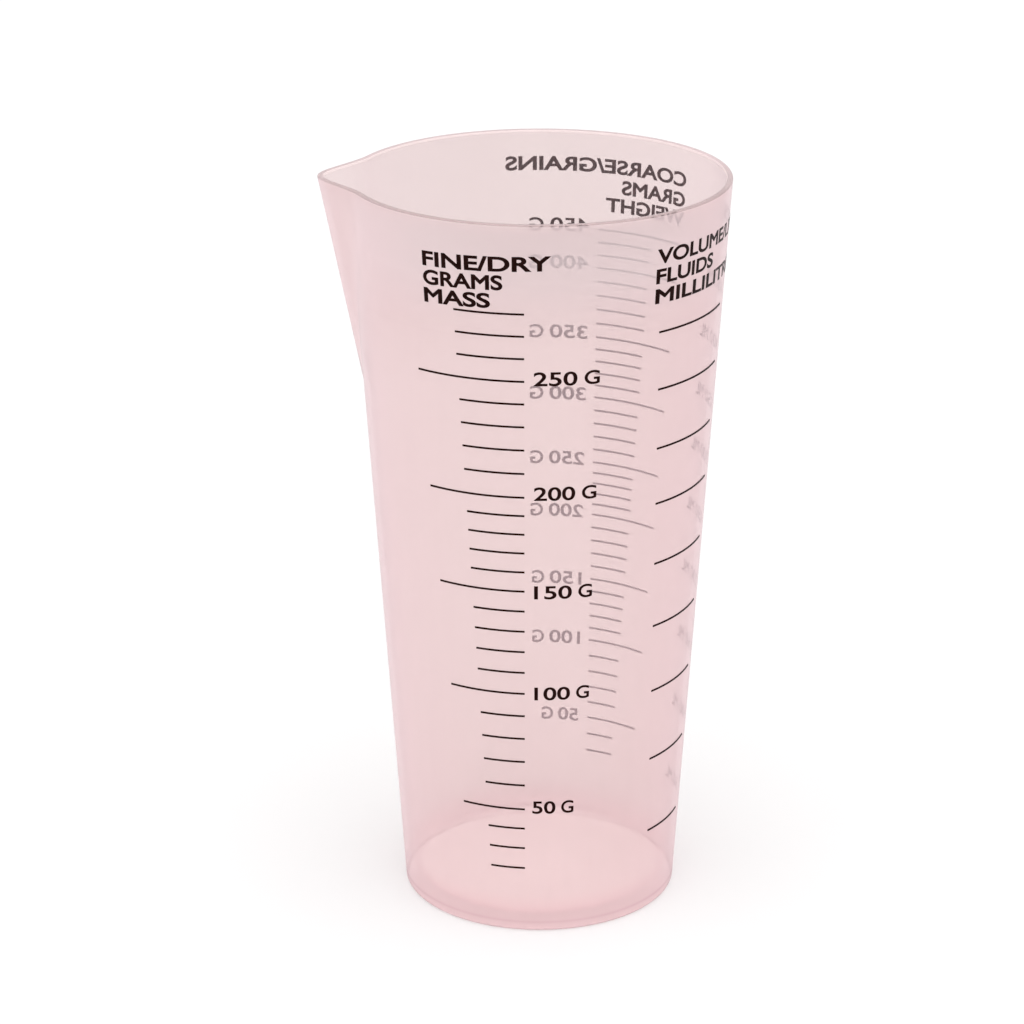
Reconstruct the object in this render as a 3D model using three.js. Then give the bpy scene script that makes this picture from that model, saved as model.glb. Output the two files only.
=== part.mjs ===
// Measuring jug: a thin-walled conical beaker with a pouring spout and three printed scales.
// Millimetres, +Z up. The origin is the centre of the underside, and the spout points to -X.
import * as THREE from 'three';

// Moulded jug
const HEIGHT = 160;
const BASE_RADIUS = 29.7;
const RIM_RADIUS = 40.1;
const WALL = 1.3;
const FLOOR = 1.5;
const BASE_EDGE_RADIUS = 0.8;
const FLOOR_FILLET_RADIUS = 6;
const LIP_EDGE_RADIUS = 0.4;

// Pouring spout, which grows out of the wall from nothing at its lower end
const SPOUT_REACH = 6.1;
const SPOUT_DEPTH = 45.4;
const SPOUT_HALF_ANGLE = THREE.MathUtils.degToRad(25);
const SPOUT_TIP_ANGLE = THREE.MathUtils.degToRad(6);

// Printed lines
const INK_GAP = 0.05;
const INK_THICKNESS = 0.1;
const LINE_WIDTH = 0.4;
const LINE_SETBACK = 3.05;

// Lengths of the printed lines, which grow evenly from the base to the rim
const FLOUR_SHORT_LINE_BASE = 6.5;
const FLOUR_SHORT_LINE_RIM = 15.8;
const FLOUR_LONG_LINE_BASE = 10.8;
const FLOUR_LONG_LINE_RIM = 26.8;
const LIQUID_LINE_BASE = 11.8;
const LIQUID_LINE_RIM = 26.9;
const SUGAR_LINE_BASE = 10.9;
const SUGAR_LINE_RIM = 23.1;

// Facets
const WALL_SEGMENTS = 144;
const CORNER_SEGMENTS = 4;
const SPOUT_ROWS = 5;
const LINE_FACET = THREE.MathUtils.degToRad(4);

// Each scale stands left of a straight line up the wall, at its azimuth in degrees.
// marks pairs a reading with the volume in millilitres that lies below its line, and readings
// in between are shared out evenly.
const SCALES = [
  {
    name: 'flour',
    unit: 'g',
    azimuth: -90,
    step: 10,
    longStep: 50,
    marks: [[20, 37], [50, 77], [100, 161], [150, 241], [200, 319], [250, 421], [280, 483]],
    shortLength: { base: FLOUR_SHORT_LINE_BASE, rim: FLOUR_SHORT_LINE_RIM },
    longLength: { base: FLOUR_LONG_LINE_BASE, rim: FLOUR_LONG_LINE_RIM },
  },
  {
    name: 'liquid',
    unit: 'ml',
    azimuth: -10.3,
    step: 50,
    longStep: 50,
    marks: [[50, 48], [300, 301], [350, 349], [450, 455]],
    longLength: { base: LIQUID_LINE_BASE, rim: LIQUID_LINE_RIM },
  },
  {
    name: 'sugar',
    unit: 'g',
    azimuth: 75,
    step: 50,
    longStep: 50,
    marks: [
      [50, 61], [100, 116], [150, 162], [200, 213], [250, 256], [300, 312], [350, 366], [400, 431], [450, 468],
    ],
    longLength: { base: SUGAR_LINE_BASE, rim: SUGAR_LINE_RIM },
  },
];

const slope = (RIM_RADIUS - BASE_RADIUS) / HEIGHT;
const levelWall = WALL * Math.hypot(1, slope);
const spoutBottom = HEIGHT - SPOUT_DEPTH;

const outerRadius = (z) => BASE_RADIUS + slope * z;
const innerRadius = (z) => outerRadius(z) - levelWall;

// Height of the surface of a volume in millilitres, from the volume of a cone's frustum. The fillet at
// the floor, which takes up about 1 ml, is left out.
function fillHeight(millilitres) {
  const cubeBelow = innerRadius(FLOOR) ** 3;
  const cube = cubeBelow + (3 * slope * millilitres * 1000) / Math.PI;
  return (Math.cbrt(cube) - innerRadius(0)) / slope;
}

// Points of an outline through corners [radius, height, rounding], with an arc at each rounded corner.
function roundedOutline(corners) {
  const points = corners.map(([x, y]) => new THREE.Vector2(x, y));
  return points.flatMap((corner, i) => {
    const rounding = corners[i][2] ?? 0;
    if (rounding === 0) {
      return [corner];
    }
    const back = points[i - 1].clone().sub(corner).normalize();
    const ahead = points[i + 1].clone().sub(corner).normalize();
    const halfAngle = Math.acos(back.dot(ahead)) / 2;
    const toCentre = back.clone().add(ahead).setLength(rounding / Math.sin(halfAngle));
    const centre = corner.clone().add(toCentre);
    const tangentLength = rounding / Math.tan(halfAngle);
    const start = corner.clone().addScaledVector(back, tangentLength).sub(centre);
    const end = corner.clone().addScaledVector(ahead, tangentLength).sub(centre);
    const turnsRight = back.cross(ahead) > 0;
    const arc = new THREE.EllipseCurve(
      centre.x, centre.y, rounding, rounding, start.angle(), end.angle(), turnsRight,
    );
    return arc.getPoints(CORNER_SEGMENTS);
  });
}

// Rows of the wall in the spout, from its lower end up to just under the lip.
function spoutRows(radiusAt) {
  const rowSpacing = SPOUT_DEPTH / SPOUT_ROWS;
  return Array.from({ length: SPOUT_ROWS }, (_, row) => {
    const z = spoutBottom + row * rowSpacing;
    return [radiusAt(z), z];
  });
}

// How far the spout stands out of the round wall. Its flanks run up to a rounded tip, and it narrows
// downwards as its reach does.
function spoutPush(azimuth, z) {
  const share = (z - spoutBottom) / SPOUT_DEPTH;
  const fromMiddle = Math.PI - Math.abs(azimuth);
  const angle = Math.hypot(fromMiddle / share, SPOUT_TIP_ANGLE);
  if (share <= 0 || angle >= SPOUT_HALF_ANGLE) {
    return 0;
  }
  const climb = (SPOUT_HALF_ANGLE - angle) / (SPOUT_HALF_ANGLE - SPOUT_TIP_ANGLE);
  return SPOUT_REACH * share * climb ** 2;
}

function jugGeometry() {
  const outline = roundedOutline([
    [0, 0],
    [BASE_RADIUS, 0, BASE_EDGE_RADIUS],
    ...spoutRows(outerRadius),
    [RIM_RADIUS, HEIGHT, LIP_EDGE_RADIUS],
    [RIM_RADIUS - levelWall, HEIGHT, LIP_EDGE_RADIUS],
    ...spoutRows(innerRadius).reverse(),
    [innerRadius(FLOOR), FLOOR, FLOOR_FILLET_RADIUS],
    [0, FLOOR],
  ]);
  const geometry = new THREE.LatheGeometry(outline, WALL_SEGMENTS);
  geometry.rotateX(Math.PI / 2);
  const position = geometry.attributes.position;
  const point = new THREE.Vector3();
  for (let i = 0; i < position.count; i += 1) {
    point.fromBufferAttribute(position, i);
    const azimuth = Math.atan2(point.y, point.x);
    const push = spoutPush(azimuth, point.z);
    position.setXY(i, point.x + push * Math.cos(azimuth), point.y + push * Math.sin(azimuth));
  }
  return geometry;
}

function makeJug() {
  const plastic = new THREE.MeshStandardMaterial({
    color: 0xe9c3c5,
    roughness: 0.35,
    metalness: 0,
    transparent: true,
    opacity: 0.6,
  });
  const jug = new THREE.Mesh(jugGeometry(), plastic);
  jug.name = 'jug_body';
  return jug;
}

// A thin bar of ink bent round the wall. It ends at azimuth 0, and its width is centred on height 0.
function lineGeometry(innerFace, length) {
  const sweep = length / innerFace;
  const bar = new THREE.Shape();
  bar.absarc(0, 0, innerFace + INK_THICKNESS, -sweep, 0, false);
  bar.absarc(0, 0, innerFace, 0, -sweep, true);
  const geometry = new THREE.ExtrudeGeometry(bar, {
    depth: LINE_WIDTH,
    bevelEnabled: false,
    curveSegments: Math.ceil(sweep / (2 * LINE_FACET)),
  });
  return geometry.translate(0, 0, -LINE_WIDTH / 2);
}

function makeLine(scale, reading, z) {
  const { base, rim } = reading % scale.longStep === 0 ? scale.longLength : scale.shortLength;
  const length = THREE.MathUtils.lerp(base, rim, z / HEIGHT);
  const innerFace = outerRadius(z + LINE_WIDTH / 2) + INK_GAP;
  const ink = new THREE.MeshStandardMaterial({ color: 0x231414, roughness: 0.55, metalness: 0 });
  const line = new THREE.Mesh(lineGeometry(innerFace, length), ink);
  line.name = `${scale.name}_line_${reading}${scale.unit}`;
  line.position.z = z;
  line.rotation.z = THREE.MathUtils.degToRad(scale.azimuth) - LINE_SETBACK / innerFace;
  return line;
}

// Volume below the line of a reading, between the two marks that it lies between.
function volumeOf(scale, reading) {
  const upper = Math.max(1, scale.marks.findIndex(([mark]) => mark >= reading));
  const [lowReading, lowVolume] = scale.marks[upper - 1];
  const [highReading, highVolume] = scale.marks[upper];
  return THREE.MathUtils.mapLinear(reading, lowReading, highReading, lowVolume, highVolume);
}

// The lines of one scale, as far up as the wall is straight.
function makeScale(scale) {
  const group = new THREE.Group();
  const first = scale.marks[0][0];
  const last = scale.marks.at(-1)[0];
  const top = HEIGHT - LIP_EDGE_RADIUS - LINE_WIDTH / 2;
  for (let reading = first; reading <= last; reading += scale.step) {
    const z = fillHeight(volumeOf(scale, reading));
    if (z < top) {
      group.add(makeLine(scale, reading, z));
    }
  }
  return group;
}

const measuringJug = new THREE.Group();
measuringJug.add(makeJug());
SCALES.forEach((scale) => measuringJug.add(makeScale(scale)));

export default measuringJug;
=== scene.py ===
# Looks of a translucent measuring jug with printed scales, built around its solids.
import math

import bmesh
import bpy
from mathutils import Matrix, Vector


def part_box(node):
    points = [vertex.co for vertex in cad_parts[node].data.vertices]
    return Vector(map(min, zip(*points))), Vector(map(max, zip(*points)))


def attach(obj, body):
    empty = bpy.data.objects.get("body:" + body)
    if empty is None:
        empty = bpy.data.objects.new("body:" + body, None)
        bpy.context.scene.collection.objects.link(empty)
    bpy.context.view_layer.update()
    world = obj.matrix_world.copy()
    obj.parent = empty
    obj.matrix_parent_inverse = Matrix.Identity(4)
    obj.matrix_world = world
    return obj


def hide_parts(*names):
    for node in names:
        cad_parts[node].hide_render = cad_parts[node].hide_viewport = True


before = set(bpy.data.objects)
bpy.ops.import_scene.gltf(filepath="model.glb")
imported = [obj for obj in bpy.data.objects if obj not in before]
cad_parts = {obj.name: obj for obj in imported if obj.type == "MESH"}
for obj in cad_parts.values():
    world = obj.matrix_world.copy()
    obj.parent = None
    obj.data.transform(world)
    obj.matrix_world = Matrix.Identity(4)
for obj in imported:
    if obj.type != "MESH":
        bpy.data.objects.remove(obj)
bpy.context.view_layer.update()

MM = 0.001

# Moulded jug
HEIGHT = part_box("jug_body")[1].z
BASE_RADIUS = 29.7 * MM
RIM_RADIUS = 40.1 * MM
WALL = 1.3 * MM
FLOOR = 1.5 * MM
BASE_EDGE_RADIUS = 0.8 * MM
FLOOR_FILLET_RADIUS = 6 * MM
LIP_EDGE_RADIUS = 0.4 * MM
SPOUT_REACH = 6.09 * MM
SPOUT_DEPTH = 45.4 * MM
SPOUT_HALF_ANGLE = math.radians(25)
SPOUT_TIP_ANGLE = math.radians(6)
SLOPE = (RIM_RADIUS - BASE_RADIUS) / HEIGHT
SPOUT_BOTTOM = HEIGHT - SPOUT_DEPTH

# Mould marks in the base: a low raised disc on the floor and a gate recess under it
DISC_RADIUS = 11.4 * MM
DISC_RISE = 0.12 * MM
GATE_RADIUS = 4 * MM
GATE_RECESS = 0.12 * MM
MARK_SLOPE = 0.3 * MM
MARK_ROUNDING = 0.15 * MM

# Fineness of the jug's mesh
WALL_SEGMENTS = 288
CORNER_SEGMENTS = 8
SPOUT_ROWS = 36
WALL_ROWS = 16
SUPPORT = 0.15 * MM

# Bodies of ink. Lettering is swelled in shares of its type size before it is fitted to its size.
INK_THICKNESS = 0.1 * MM
INK_GAP = 0.05 * MM
INK_FACET = 0.7 * MM
CUT_TOLERANCE = 1e-7
LINE_WIDTH = 0.4 * MM
LINE_SETBACK = 3.05 * MM
LETTER_THICKNESS = 0.015 * MM
LETTER_GAP = 0.01 * MM
LETTER_EXTRUSION = 0.5
NUMERAL_HEIGHT = 3.05 * MM
NUMERAL_SWELL = 0.018
HEADING_HEIGHT = 3.2 * MM
HEADING_SWELL = 0.03

# Widths of numerals and units, as angles round the wall
DIGIT_ARC = math.radians(4.45)
NARROW_ONE = math.radians(0.5)
UNIT_GAP = math.radians(2.2)
UNIT_ARC = {"G": math.radians(4.85), "ML": math.radians(7.5)}

# Numerals: their start in degrees round the wall, also of those with two digits, their width against
# plain ones, and their rise in millimetres over the line that they stand beside
FLOUR_START = -91.8
FLOUR_START_OF_TWO = -92.7
FLOUR_STRETCH = 1.0
FLOUR_RISES = {50: 0.45, 100: 0.0, 150: -0.25, 200: 0.8, 250: 0.55}
SUGAR_START = 73.4
SUGAR_STRETCH = 0.98
SUGAR_RISES = {
    50: 0.3, 100: 0.2, 150: -0.2, 200: 0.5, 250: 0.6, 300: 0.5, 350: 0.85, 400: 0.9, 450: 0.7,
}
LIQUID_START = 3.0
LIQUID_START_OF_TWO = 6.8
LIQUID_STRETCH = 0.86
LIQUID_RISE = -0.4
LIQUID_READINGS = range(50, 500, 50)

# Headings: start in degrees round the wall, climb, and rows of (text, width, height on the wall) in
# millimetres
HEADINGS = {
    "flour_heading": (-126.3, 0.033, [
        ("FINE/DRY", 27.4, 151.2), ("GRAMS", 17.5, 147.3), ("MASS", 14.8, 143.5),
    ]),
    "liquid_heading": (-53.5, -0.015, [
        ("VOLUME/LITRES", 44, 151.2), ("FLUIDS", 19, 147.0), ("MILLILITRES", 37, 142.8),
    ]),
    "sugar_heading": (37.3, 0, [
        ("COARSE/GRAINS", 44, 152.3), ("GRAMS", 17.5, 147.9), ("WEIGHT", 21, 143.8),
    ]),
}

# Short lines of the sugar scale, with volumes in millilitres and lengths in millimetres
SUGAR_AZIMUTH = math.radians(75)
SUGAR_STEP = 50
SUGAR_TOP = 450
LOWEST_SHORT_VOLUMES = (39, 50)
SHORT_LINES_PER_STEP = 4
SHORT_LINES_AT_TOP = 2
SHORT_LINE_BASE = 5.3
SHORT_LINE_GROWTH = 9.0

# Plastic. A clear colour is the light that passes straight through, a haze colour the light scattered.
WALL_CLEAR = (0.975, 0.893, 0.872, 1)
WALL_HAZE = 0.34
WALL_HAZE_COLOUR = (1.0, 0.833, 0.88, 1)
INNER_HAZE_COLOUR = (0.95, 0.72, 0.76, 1)
# Darker see-through colour for the back under the lip, also used as painted shade on the right-hand side
DENSE_AND_SHADED_CLEAR = Vector((0.955, 0.93, 0.93, 1))
DEEP_CLEAR = Vector((0.95, 0.87, 0.89, 1))
# Painted shade: see-through colour of the dark ring on the fillet at the back
FILLET_SHADE_CLEAR = Vector((0.88, 0.83, 0.84, 1))
BACK_SHARE = 0.82
ROUGHNESS = 0.26
LEAST_COSINE = 0.3
SHINE = 0.02
EDGE_SHINE = 0.5
SHINE_POWER = 5.0
RIPPLE_SCALE = 90
RIPPLE_STRENGTH = 0.02
RIPPLE_DEPTH = 0.0002
STREAK = 0.012
STREAK_SCALE = 60
STREAK_STRETCH = (1, 1, 0.08)
SATIN_SCALE = 500
SATIN_SPREAD = 0.05
NOISE_LOW = 0.3
NOISE_HIGH = 0.7

# Where the plastic looks different, by height, by depth from the back to the front and by side, some of it
# painted shade
FRONT_HALF = -15 * MM
BACK_HALF = 15 * MM
FROST_BOTTOM = HEIGHT - 24 * MM
FROST_TOP = HEIGHT - 12 * MM
FROST_SIDE = -12 * MM
FROST_MIDDLE = -34 * MM
DENSE_BOTTOM = HEIGHT - 50 * MM
DENSE_TOP = HEIGHT - 32 * MM
# Painted shade: the right-hand side is darkened in its see-through colour, for the shade on that side
SHADED_RIGHT_START = 8 * MM
SHADED_RIGHT_END = 34 * MM
SHADED_RIGHT_MOST = 0.5
DEEP_TOP = 9 * MM
DEEP_BOTTOM = 3 * MM
FLOOR_MILK_TOP = FLOOR + 4.5 * MM
FLOOR_MILK_BOTTOM = FLOOR + 0.5 * MM
# Painted shade: the dark ring on the fillet at the back
FILLET_RING_HEIGHT = FLOOR + 1.6 * MM
FILLET_RING_BACK = BACK_HALF / 3
# Painted shade: height of the dark ring low on the wall
FOOT_SHADE_RING_HEIGHT = 2.2 * MM
RING_WIDTH = 0.6 * MM

# Printing ink
INK_DARK = (0.008, 0.002, 0.0015, 1)
INK_PALE = (0.016, 0.005, 0.004, 1)
INK_ROUGHNESS_LOW = 0.3
INK_ROUGHNESS_HIGH = 0.4
INK_SHINE = 0.002
INK_EDGE_SHINE = 0.3
INK_SHINE_POWER = 4.0
MOTTLE_SCALE = 900
MOTTLE_DETAIL = 4
MOTTLE_LOW = 0.35
MOTTLE_HIGH = 0.65
MOTTLE_STRENGTH = 0.1
MOTTLE_DEPTH = 0.00002

# Camera, solved from the photograph's outlines
CAMERA_PLACE = Vector((0, -667.99 * MM, 332.5 * MM))
CAMERA_YAW = math.radians(-0.506)
CAMERA_PITCH = math.radians(20.304)
CAMERA_ROLL = math.radians(-0.153)
CAMERA_LENS = 116.41
SENSOR_WIDTH = 36

# Stage. The ambient light comes least from the dim side and most from the side across from it.
FLOOR_HALF_SIZE = 4.0
FLOOR_SEGMENTS = 8
FLOOR_DROP = 0.15 * MM
FLOOR_WHITE = 0.7
FLOOR_SEEN = 0.55
FLOOR_LIFT = 0.3
FLOOR_GRAIN = 0.02
FLOOR_GRAIN_SCALE = 300
AMBIENT_MOST = 2.0
AMBIENT_LEAST = 0.05
AMBIENT_DIM_SIDE = Vector((-0.1, 0.995, 0))
LAMP_PLACE = Vector((0, 0, 3.5))
LAMP_SIZE = 1.8
LAMP_POWER = 45


def outer_radius(z):
    return BASE_RADIUS + SLOPE * z


def inner_radius(z):
    return outer_radius(z) - WALL * math.hypot(1, SLOPE)


def spout_push(azimuth, z):
    """How far the spout stands out of the round wall at an azimuth and a height."""
    share = (z - SPOUT_BOTTOM) / SPOUT_DEPTH
    if share <= 0:
        return 0
    angle = math.hypot((math.pi - abs(azimuth)) / share, SPOUT_TIP_ANGLE)
    if angle >= SPOUT_HALF_ANGLE:
        return 0
    climb = (SPOUT_HALF_ANGLE - angle) / (SPOUT_HALF_ANGLE - SPOUT_TIP_ANGLE)
    return SPOUT_REACH * share * climb ** 2


def fill_height(millilitres):
    """Height of the surface of a volume, from the volume of a cone's frustum."""
    cubic_metres = millilitres * 1e-6
    cube = inner_radius(FLOOR) ** 3 + 3 * SLOPE * cubic_metres / math.pi
    return (cube ** (1 / 3) - inner_radius(0)) / SLOPE


# Node materials

def new_material(name):
    material = bpy.data.materials.new(name)
    material.use_nodes = True
    material.node_tree.nodes.clear()
    return material


def add_node(material, kind, inputs=None, **settings):
    node = material.node_tree.nodes.new(kind)
    for key, value in settings.items():
        setattr(node, key, value)
    for key, value in (inputs or {}).items():
        if isinstance(value, bpy.types.NodeSocket):
            material.node_tree.links.new(value, node.inputs[key])
        else:
            node.inputs[key].default_value = value
    return node


def math_node(material, operation, first, second):
    return add_node(material, "ShaderNodeMath", {0: first, 1: second}, operation=operation).outputs[0]


def remap(material, value, low, high, to_low=0.0, to_high=1.0):
    inputs = {"Value": value, "From Min": low, "From Max": high, "To Min": to_low, "To Max": to_high}
    return add_node(material, "ShaderNodeMapRange", inputs).outputs["Result"]


def mix_colours(material, share, first, second):
    inputs = {"Factor": share, 6: first, 7: second}
    return add_node(material, "ShaderNodeMix", inputs, data_type="RGBA").outputs[2]


def mix_shaders(material, share, first, second):
    inputs = {0: share, 1: first.outputs[0], 2: second.outputs[0]}
    return add_node(material, "ShaderNodeMixShader", inputs)


def set_surface(material, shader):
    add_node(material, "ShaderNodeOutputMaterial", {"Surface": shader.outputs[0]})


def noise(material, scale, detail=3, stretch=(1, 1, 1)):
    """A noise pattern that sits still on the object, stretched along its axes."""
    place = add_node(material, "ShaderNodeTexCoord").outputs["Object"]
    mapping = add_node(material, "ShaderNodeMapping", {"Vector": place, "Scale": stretch})
    inputs = {"Vector": mapping.outputs[0], "Scale": scale, "Detail": detail}
    return add_node(material, "ShaderNodeTexNoise", inputs).outputs["Fac"]


def bumped_normal(material, height, strength, depth):
    inputs = {"Strength": strength, "Distance": depth, "Height": height}
    return add_node(material, "ShaderNodeBump", inputs).outputs[0]


def edge_on(material):
    """0 where a face is met square on, and 1 where it is met edge on."""
    return add_node(material, "ShaderNodeLayerWeight", {"Blend": 0.5}).outputs["Facing"]


def front_half(material, axes):
    """The half of the jug towards -Y, with a soft border."""
    return remap(material, axes["Y"], BACK_HALF, FRONT_HALF)


def frost(material, axes):
    """The middle of the front under the lip, where the plastic is milkier."""
    return math_node(material, "MULTIPLY", remap(material, axes["Z"], FROST_BOTTOM, FROST_TOP),
                     remap(material, axes["Y"], FROST_SIDE, FROST_MIDDLE))


def dense_wall(material, axes):
    """The back under the lip, which lets less light straight through, and the right-hand side, darkened the
    same way as painted shade.
    """
    back = math_node(material, "MULTIPLY", remap(material, axes["Z"], DENSE_BOTTOM, DENSE_TOP),
                     remap(material, axes["Y"], FRONT_HALF, BACK_HALF))
    right = remap(material, axes["X"], SHADED_RIGHT_START, SHADED_RIGHT_END, 0.0, SHADED_RIGHT_MOST)
    return math_node(material, "MAXIMUM", back, right)


def deep_foot(material, axes):
    """The lowest part of the wall, where it thickens into the floor."""
    return remap(material, axes["Z"], DEEP_TOP, DEEP_BOTTOM)


def milky_floor(material, axes):
    """The floor, up to where its fillet runs into the wall."""
    return remap(material, axes["Z"], FLOOR_MILK_TOP, FLOOR_MILK_BOTTOM)


def level_ring(material, axes, height):
    """A soft level ring at a height."""
    off = math_node(material, "ABSOLUTE", math_node(material, "SUBTRACT", axes["Z"], height), 0.0)
    return remap(material, off, 0.0, RING_WIDTH, 1.0, 0.0)


def fillet_ring(material, axes):
    """A painted dark ring on the fillet at the back: painted shade where the fillet bends the light aside."""
    return math_node(material, "MULTIPLY", level_ring(material, axes, FILLET_RING_HEIGHT),
                     remap(material, axes["Y"], FRONT_HALF, FILLET_RING_BACK))


def foot_ring(material, axes):
    """A dark ring low on the wall, near the height of the floor: painted shade of the base's edge and its
    contact shadow.
    """
    return level_ring(material, axes, FOOT_SHADE_RING_HEIGHT)


def plastic(name, clear, haze, haze_colour, back_share=BACK_SHARE, roughness=ROUGHNESS,
            milky_and_shaded=None, dense_and_shaded=(dense_wall, DENSE_AND_SHADED_CLEAR)):
    """Translucent plastic: sight through it, a milky haze in it and satin gloss on it.

    The haze is the share of light that the wall scatters where it is met square on. It rises with the
    longer way through the wall where it is met aslant. The second to last argument is (part, haze, haze
    colour) of a part with its own haze: milkier under the front of the lip and on the floor, darker on
    the front half of the lip, and a dark ring low on the wall that is painted shade. The last is (part,
    colour) of a part that lets less light straight through: the back under the lip and the lowest wall,
    and, as painted shade, the right-hand side and a ring on the fillet. back_share is the part of the
    scattered light that comes from behind the face.
    """
    material = new_material(name)
    ripple = noise(material, RIPPLE_SCALE, detail=1)
    normal = bumped_normal(material, ripple, RIPPLE_STRENGTH, RIPPLE_DEPTH)
    edge = edge_on(material)
    place = add_node(material, "ShaderNodeTexCoord").outputs["Object"]
    axes = add_node(material, "ShaderNodeSeparateXYZ", {0: place}).outputs

    square_haze = haze
    if milky_and_shaded:
        milky_and_shaded_part, milky_and_shaded_haze, milky_and_shaded_colour = milky_and_shaded
        part = milky_and_shaded_part(material, axes)
        square_haze = remap(material, part, 0.0, 1.0, haze, milky_and_shaded_haze)
        haze_colour = mix_colours(material, part, haze_colour, milky_and_shaded_colour)
    streak_noise = noise(material, STREAK_SCALE, stretch=STREAK_STRETCH)
    streaks = remap(material, streak_noise, NOISE_LOW, NOISE_HIGH, -STREAK, STREAK)
    kept = math_node(material, "SUBTRACT", 1.0, math_node(material, "ADD", square_haze, streaks))
    slant = math_node(material, "DIVIDE", 1.0, remap(material, edge, 0.0, 1.0, 1.0, LEAST_COSINE))
    share = math_node(material, "SUBTRACT", 1.0, math_node(material, "POWER", kept, slant))

    dense_and_shaded_part, dense_and_shaded_clear = dense_and_shaded
    passed = mix_colours(material, dense_and_shaded_part(material, axes), clear, dense_and_shaded_clear * Vector(clear))
    see = add_node(material, "ShaderNodeBsdfTransparent", {"Color": passed})
    front = add_node(material, "ShaderNodeBsdfDiffuse", {"Color": haze_colour, "Normal": normal})
    back = add_node(material, "ShaderNodeBsdfTranslucent", {"Color": haze_colour, "Normal": normal})
    milk = mix_shaders(material, back_share, front, back)
    body = mix_shaders(material, share, see, milk)

    satin = remap(material, noise(material, SATIN_SCALE), NOISE_LOW, NOISE_HIGH,
                  roughness * (1 - SATIN_SPREAD), roughness * (1 + SATIN_SPREAD))
    gloss = add_node(material, "ShaderNodeBsdfGlossy", {"Roughness": satin, "Normal": normal})
    shine = remap(material, math_node(material, "POWER", edge, SHINE_POWER), 0.0, 1.0, SHINE, EDGE_SHINE)
    set_surface(material, mix_shaders(material, shine, body, gloss))
    return material


def ink_material():
    """Black printing ink, a little uneven in depth and gloss."""
    material = new_material("printing_ink")
    mottle = noise(material, MOTTLE_SCALE, detail=MOTTLE_DETAIL)
    depth = remap(material, mottle, MOTTLE_LOW, MOTTLE_HIGH)
    colour = mix_colours(material, depth, INK_DARK, INK_PALE)
    normal = bumped_normal(material, mottle, MOTTLE_STRENGTH, MOTTLE_DEPTH)
    black = add_node(material, "ShaderNodeBsdfDiffuse", {"Color": colour, "Normal": normal})
    satin = remap(material, mottle, NOISE_LOW, NOISE_HIGH, INK_ROUGHNESS_LOW, INK_ROUGHNESS_HIGH)
    gloss = add_node(material, "ShaderNodeBsdfGlossy", {"Roughness": satin, "Normal": normal})
    glance = math_node(material, "POWER", edge_on(material), INK_SHINE_POWER)
    shine = remap(material, glance, 0.0, 1.0, INK_SHINE, INK_EDGE_SHINE)
    set_surface(material, mix_shaders(material, shine, black, gloss))
    return material


def seen_share(material):
    """1 on a ray that shows the background, also mirrored or through plastic, and 0 on scattered light."""
    path = add_node(material, "ShaderNodeLightPath").outputs
    seen = math_node(material, "MAXIMUM", path["Is Camera Ray"], path["Is Glossy Ray"])
    through = math_node(material, "SUBTRACT", path["Is Transmission Ray"], path["Is Diffuse Ray"])
    return math_node(material, "MAXIMUM", seen, through)


def floor_material():
    """White floor that takes shadows, and is fully white to the eye where nothing shades it."""
    material = new_material("stage_floor")
    seen = seen_share(material)
    grain = noise(material, FLOOR_GRAIN_SCALE)
    bump = add_node(material, "ShaderNodeBump", {"Strength": FLOOR_GRAIN, "Height": grain})
    paper = add_node(material, "ShaderNodeBsdfDiffuse", {
        "Color": remap(material, seen, 0.0, 1.0, FLOOR_WHITE, FLOOR_SEEN),
        "Normal": bump.outputs[0],
    })
    strength = math_node(material, "MULTIPLY", seen, FLOOR_LIFT)
    lift = add_node(material, "ShaderNodeEmission", {"Strength": strength})
    surface = add_node(material, "ShaderNodeAddShader", {0: paper.outputs[0], 1: lift.outputs[0]})
    set_surface(material, surface)
    return material


# Meshes

def mesh_piece(name, bm, materials):
    """A piece of the object from a bmesh, which rides with the jug."""
    bmesh.ops.recalc_face_normals(bm, faces=bm.faces)
    mesh = bpy.data.meshes.new(name)
    bm.to_mesh(mesh)
    bm.free()
    for material in materials:
        mesh.materials.append(material)
    piece = bpy.data.objects.new(name, mesh)
    bpy.context.collection.objects.link(piece)
    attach(piece, "root")
    return piece


def rounded_outline(corners):
    """Points through corners (radius, height, rounding).

    A rounded corner becomes an arc with a close row on each side of it.
    """
    points = [Vector(corner[:2]) for corner in corners]
    outline = []
    for i, (corner, point) in enumerate(zip(corners, points)):
        rounding = corner[2] if len(corner) > 2 else 0
        if rounding == 0:
            outline.append(point)
            continue
        back = (points[i - 1] - point).normalized()
        ahead = (points[i + 1] - point).normalized()
        half_angle = back.angle(ahead) / 2
        centre = point + (back + ahead).normalized() * rounding / math.sin(half_angle)
        tangent = rounding / math.tan(half_angle)
        start = point + back * tangent - centre
        turn = start.angle_signed(point + ahead * tangent - centre)
        outline.append(point + back * (tangent + SUPPORT))
        for step in range(CORNER_SEGMENTS + 1):
            spin = Matrix.Rotation(-turn * step / CORNER_SEGMENTS, 2)
            outline.append(centre + spin @ start)
        outline.append(point + ahead * (tangent + SUPPORT))
    return outline


def wall_rows(radius_at):
    """Rows up a wall from above the fillet, which lie closer in the spout."""
    start = FLOOR + 2 * FLOOR_FILLET_RADIUS
    plain = [start + (SPOUT_BOTTOM - start) * row / WALL_ROWS for row in range(WALL_ROWS + 1)]
    spout = [SPOUT_BOTTOM + SPOUT_DEPTH * row / SPOUT_ROWS for row in range(1, SPOUT_ROWS)]
    return [(radius_at(z), z) for z in plain + spout]


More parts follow.
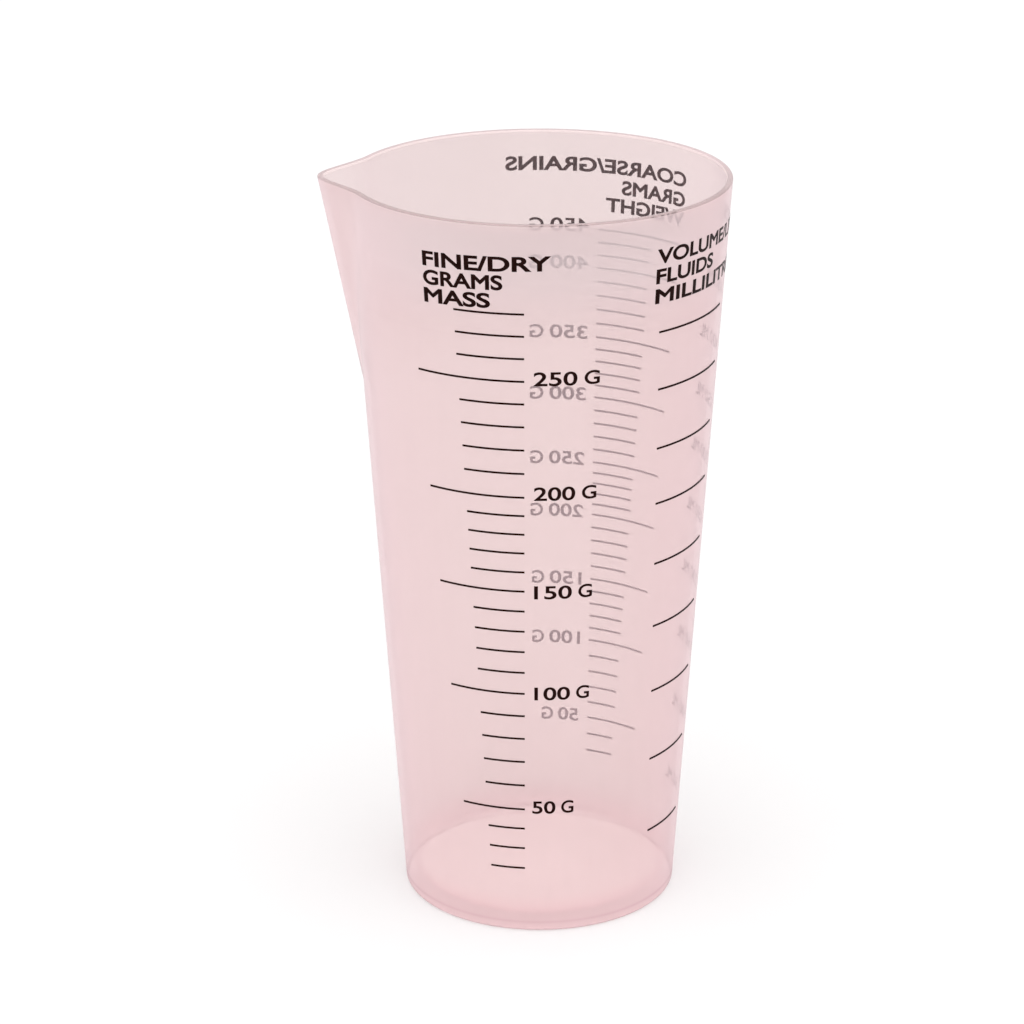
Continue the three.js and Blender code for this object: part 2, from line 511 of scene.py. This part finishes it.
def jug_outline():
    """The moulding's half section, from the middle of its underside to the middle of its floor."""
    return rounded_outline([
        (0, GATE_RECESS),
        (GATE_RADIUS, GATE_RECESS, MARK_ROUNDING),
        (GATE_RADIUS + MARK_SLOPE, 0, MARK_ROUNDING),
        (BASE_RADIUS, 0, BASE_EDGE_RADIUS),
        *wall_rows(outer_radius),
        (RIM_RADIUS, HEIGHT, LIP_EDGE_RADIUS),
        (inner_radius(HEIGHT), HEIGHT, LIP_EDGE_RADIUS),
        *reversed(wall_rows(inner_radius)),
        (inner_radius(FLOOR), FLOOR, FLOOR_FILLET_RADIUS),
        (DISC_RADIUS + MARK_SLOPE, FLOOR, MARK_ROUNDING),
        (DISC_RADIUS, FLOOR + DISC_RISE, MARK_ROUNDING),
        (0, FLOOR + DISC_RISE),
    ])


def jug_ring(bm, radius, z):
    """Vertices round the jug at one point of its outline, pushed out at the spout."""
    if radius == 0:
        return [bm.verts.new((0, 0, z))]
    verts = []
    for segment in range(WALL_SEGMENTS):
        azimuth = math.pi * (2 * segment / WALL_SEGMENTS - 1)
        reach = radius + spout_push(azimuth, z)
        verts.append(bm.verts.new((reach * math.cos(azimuth), reach * math.sin(azimuth), z)))
    return verts


def jug_zone(radius, z):
    """Which plastic of make_jug a point of the outline has. The flat underside has the floor's."""
    below_lip = HEIGHT - z
    if radius > outer_radius(z) - WALL / 2:
        if z < BASE_EDGE_RADIUS / 2:
            return "foot"
        if z < DEEP_BOTTOM:
            return "low_wall"
        return "lip" if below_lip < LIP_EDGE_RADIUS else "outside"
    if below_lip < LIP_EDGE_RADIUS:
        return "lip" if below_lip < LIP_EDGE_RADIUS / 4 else "lip_edge_highlight"
    return "inside" if z > FLOOR + FLOOR_FILLET_RADIUS else "floor"


def jug_mesh(zones):
    """The moulding turned about its axis, with its materials in the order of its zones."""
    outline = jug_outline()
    bm = bmesh.new()
    rings = [jug_ring(bm, radius, z) for radius, z in outline]
    for (radius, z), lower, upper in zip(outline, rings, rings[1:]):
        for i in range(WALL_SEGMENTS):
            after = i + 1
            corners = [lower[i % len(lower)], lower[after % len(lower)],
                       upper[after % len(upper)], upper[i % len(upper)]]
            face = bm.faces.new(dict.fromkeys(corners))
            face.smooth = True
            face.material_index = zones.index(jug_zone(radius, z))
    return bm


def on_wall(azimuth, z, lift):
    """A point at a height over the outside of the wall."""
    radius = outer_radius(z) + lift
    return Vector((radius * math.cos(azimuth), radius * math.sin(azimuth), z))


def wrap(bm, azimuth, z, gap):
    """Bends flat ink in the XY plane round the wall, with its origin at an azimuth and a height."""
    left = min(v.co.x for v in bm.verts)
    right = max(v.co.x for v in bm.verts)
    for cut in range(1, math.ceil((right - left) / INK_FACET)):
        geometry = bm.verts[:] + bm.edges[:] + bm.faces[:]
        place = (left + cut * INK_FACET, 0, 0)
        bmesh.ops.bisect_plane(bm, geom=geometry, plane_co=place, plane_no=(1, 0, 0), dist=CUT_TOLERANCE)
    for vert in bm.verts:
        turn = vert.co.x / outer_radius(z)
        vert.co = on_wall(azimuth + turn, z + vert.co.y, gap + vert.co.z)


def move_into(bm, part):
    """Moves what one bmesh holds into another."""
    mesh = bpy.data.meshes.new("part")
    part.to_mesh(mesh)
    part.free()
    bm.from_mesh(mesh)
    bpy.data.meshes.remove(mesh)


def add_lettering(bm, text, height, width, azimuth, z, swell, climb=0):
    """Adds lettering that starts at an azimuth, with its middle at a height on the wall.

    climb is how far it rises for each metre of its width.
    """
    curve = bpy.data.curves.new("lettering", "FONT")
    curve.body = text
    curve.extrude = LETTER_EXTRUSION
    curve.bevel_depth = swell
    curve.bevel_resolution = 0
    holder = bpy.data.objects.new("lettering", curve)
    bpy.context.collection.objects.link(holder)
    mesh = holder.evaluated_get(bpy.context.evaluated_depsgraph_get()).to_mesh()
    letters = bmesh.new()
    letters.from_mesh(mesh)
    bpy.data.objects.remove(holder)
    bpy.data.curves.remove(curve)
    low = Vector(min(v.co[axis] for v in letters.verts) for axis in range(3))
    high = Vector(max(v.co[axis] for v in letters.verts) for axis in range(3))
    size = high - low
    for vert in letters.verts:
        share = vert.co - low
        vert.co.x = share.x / size.x * width
        vert.co.y = (share.y / size.y - 0.5) * height + vert.co.x * climb
        vert.co.z = share.z / size.z * LETTER_THICKNESS
    wrap(letters, azimuth, z, LETTER_GAP)
    move_into(bm, letters)


def add_line(bm, length, azimuth, z):
    """Adds a printed line that ends at an azimuth, at a height on the wall."""
    bar = bmesh.new()
    bmesh.ops.create_cube(bar, size=1)
    for vert in bar.verts:
        vert.co.x = (vert.co.x - 0.5) * length
        vert.co.y *= LINE_WIDTH
        vert.co.z = (vert.co.z + 0.5) * INK_THICKNESS
    wrap(bar, azimuth, z, INK_GAP)
    move_into(bm, bar)


# Pieces of the object

def make_jug():
    """The moulding, whose plastic looks unlike on the wall, the floor, the lip and the edges, with painted
    shade and a painted highlight in places.
    """
    zones = {
        "outside": plastic(
            "pink_plastic_outside", WALL_CLEAR, WALL_HAZE, WALL_HAZE_COLOUR,
            milky_and_shaded=(frost, 0.7, (1.0, 0.89, 0.91, 1)),
        ),
        # The low wall: darker where it thickens into the floor, and a dark ring near the floor's height as
        # painted shade
        "low_wall": plastic(
            "pink_plastic_low_wall", WALL_CLEAR, WALL_HAZE, WALL_HAZE_COLOUR,
            milky_and_shaded=(foot_ring, 0.42, (0.76, 0.6, 0.65, 1)), dense_and_shaded=(deep_foot, DEEP_CLEAR),
        ),
        "inside": plastic(
            "pink_plastic_inside", clear=(0.99, 0.985, 0.98, 1), haze=0.01, haze_colour=INNER_HAZE_COLOUR,
            roughness=0.12,
        ),
        # The floor: milkier, with a dark ring on its fillet at the back as painted shade
        "floor": plastic(
            "pink_plastic_floor", clear=(1.0, 0.98, 0.975, 1), haze=0.02, haze_colour=INNER_HAZE_COLOUR,
            back_share=0.15, roughness=0.06,
            milky_and_shaded=(milky_floor, 0.4, (1.0, 0.93, 0.93, 1)), dense_and_shaded=(fillet_ring, FILLET_SHADE_CLEAR),
        ),
        # The foot, the lowest part of the base's rounded edge: darker haze as painted shade of the contact
        # shadow under it
        "foot": plastic(
            "pink_plastic_foot", clear=(0.95, 0.85, 0.86, 1), haze=0.5, haze_colour=(0.62, 0.46, 0.48, 1),
        ),
        "lip": plastic(
            "pink_plastic_lip", clear=(0.95, 0.88, 0.88, 1), haze=0.5, haze_colour=(0.84, 0.74, 0.75, 1),
            milky_and_shaded=(front_half, 0.5, (0.57, 0.49, 0.49, 1)),
        ),
        # The lip's inner edge: milkier, paler haze that the lamps light, as a painted highlight for gloss
        # that catches the light there
        "lip_edge_highlight": plastic(
            "pink_plastic_lip_edge", clear=(0.98, 0.95, 0.94, 1), haze=0.7,
            haze_colour=(0.89, 0.79, 0.78, 1), back_share=0.4,
        ),
    }
    jug = mesh_piece("jug_shell", jug_mesh(list(zones)), zones.values())
    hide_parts("jug_body")


def line_height(node):
    low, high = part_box(node)
    return (low.z + high.z) / 2


def numerals(name, unit, stretch, labels, ink):
    """Numerals and units beside the long lines of a scale.

    A label is (line's node, digits, start, rise).
    """
    bm = bmesh.new()
    for node, digits, start, rise in labels:
        z = line_height(node) + rise * MM
        azimuth = math.radians(start)
        arc = stretch * (DIGIT_ARC * len(digits) - NARROW_ONE * digits.startswith("1"))
        unit_arc = stretch * UNIT_ARC[unit]
        add_lettering(bm, digits, NUMERAL_HEIGHT, arc * outer_radius(z), azimuth, z, NUMERAL_SWELL)
        azimuth += arc + stretch * UNIT_GAP
        add_lettering(bm, unit, NUMERAL_HEIGHT, unit_arc * outer_radius(z), azimuth, z, NUMERAL_SWELL)
    mesh_piece(name, bm, [ink])


def heading(name, start, climb, rows, ink):
    """Rows of lettering that start at one azimuth and climb."""
    bm = bmesh.new()
    azimuth = math.radians(start)
    for text, width, z in rows:
        add_lettering(bm, text, HEADING_HEIGHT, width * MM, azimuth, z * MM, HEADING_SWELL, climb)
    mesh_piece(name, bm, [ink])


def sugar_short_lines(ink):
    """The short lines of the sugar scale: two below its long ones, and the others shared out between them."""
    bm = bmesh.new()
    levels = [fill_height(volume) for volume in LOWEST_SHORT_VOLUMES]
    for low in range(SUGAR_STEP, SUGAR_TOP, SUGAR_STEP):
        bottom = line_height(f"sugar_line_{low}g")
        top = line_height(f"sugar_line_{low + SUGAR_STEP}g")
        count = SHORT_LINES_PER_STEP if low + SUGAR_STEP < SUGAR_TOP else SHORT_LINES_AT_TOP
        levels += [bottom + (top - bottom) * (i + 1) / (count + 1) for i in range(count)]
    for z in levels:
        length = (SHORT_LINE_BASE + SHORT_LINE_GROWTH * z / HEIGHT) * MM
        add_line(bm, length, SUGAR_AZIMUTH - LINE_SETBACK / outer_radius(z), z)
    mesh_piece("sugar_short_lines", bm, [ink])


def make_print(ink):
    """Ink on the printed lines of the solids, and the numerals, headings and short lines beside them."""
    for name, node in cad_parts.items():
        if "_line_" in name:
            for slot in node.material_slots:
                slot.material = ink
    numerals("flour_numerals", "G", FLOUR_STRETCH, [
        (f"flour_line_{grams}g", str(grams), FLOUR_START if grams >= 100 else FLOUR_START_OF_TWO, rise)
        for grams, rise in FLOUR_RISES.items()
    ], ink)
    numerals("sugar_numerals", "G", SUGAR_STRETCH, [
        (f"sugar_line_{grams}g", str(grams), SUGAR_START, rise) for grams, rise in SUGAR_RISES.items()
    ], ink)
    numerals("liquid_numerals", "ML", LIQUID_STRETCH, [
        (f"liquid_line_{volume}ml", str(volume), LIQUID_START if volume >= 100 else LIQUID_START_OF_TWO,
         LIQUID_RISE)
        for volume in LIQUID_READINGS
    ], ink)
    for name, (start, climb, rows) in HEADINGS.items():
        heading(name, start, climb, rows, ink)
    sugar_short_lines(ink)


# Stage, light and camera

def make_floor():
    bm = bmesh.new()
    bmesh.ops.create_grid(bm, x_segments=FLOOR_SEGMENTS, y_segments=FLOOR_SEGMENTS, size=FLOOR_HALF_SIZE)
    mesh = bpy.data.meshes.new("floor")
    bm.to_mesh(mesh)
    bm.free()
    mesh.materials.append(floor_material())
    floor = bpy.data.objects.new("floor", mesh)
    floor.location.z = -FLOOR_DROP
    bpy.context.collection.objects.link(floor)


def make_world():
    """Even white to the eye all round, and as light strongest from the front of the jug."""
    world = bpy.data.worlds.new("studio")
    bpy.context.scene.world = world
    world.use_nodes = True
    seen = seen_share(world)
    direction = add_node(world, "ShaderNodeTexCoord").outputs["Generated"]
    sides = {0: direction, 1: AMBIENT_DIM_SIDE}
    dim = add_node(world, "ShaderNodeVectorMath", sides, operation="DOT_PRODUCT").outputs["Value"]
    ambient = remap(world, dim, -1.0, 1.0, AMBIENT_MOST, AMBIENT_LEAST)
    strength = add_node(world, "ShaderNodeMix", {"Factor": seen, 2: ambient, 3: 1.0}).outputs[0]
    background = world.node_tree.nodes["Background"]
    background.inputs["Color"].default_value = (1, 1, 1, 1)
    world.node_tree.links.new(strength, background.inputs["Strength"])


def make_lamp():
    """A soft square lamp overhead that looks at the middle of the jug."""
    light = bpy.data.lights.new("top_lamp", "AREA")
    light.size = LAMP_SIZE
    light.energy = LAMP_POWER
    lamp = bpy.data.objects.new("top_lamp", light)
    lamp.location = LAMP_PLACE
    aim = Vector((0, 0, HEIGHT / 2)) - lamp.location
    lamp.rotation_euler = aim.to_track_quat("-Z", "Y").to_euler()
    bpy.context.collection.objects.link(lamp)


def make_camera():
    data = bpy.data.cameras.new("camera")
    data.lens = CAMERA_LENS
    data.sensor_width = SENSOR_WIDTH
    camera = bpy.data.objects.new("camera", data)
    turn = Matrix.Rotation(-CAMERA_YAW, 4, "Z")
    tip = Matrix.Rotation(math.radians(90) - CAMERA_PITCH, 4, "X")
    roll = Matrix.Rotation(CAMERA_ROLL, 4, "Z")
    camera.matrix_world = Matrix.Translation(CAMERA_PLACE) @ turn @ tip @ roll
    bpy.context.collection.objects.link(camera)
    bpy.context.scene.camera = camera


make_camera()
make_floor()
make_world()
make_lamp()
make_jug()
make_print(ink_material())
bpy.context.scene.view_settings.view_transform = "Standard"
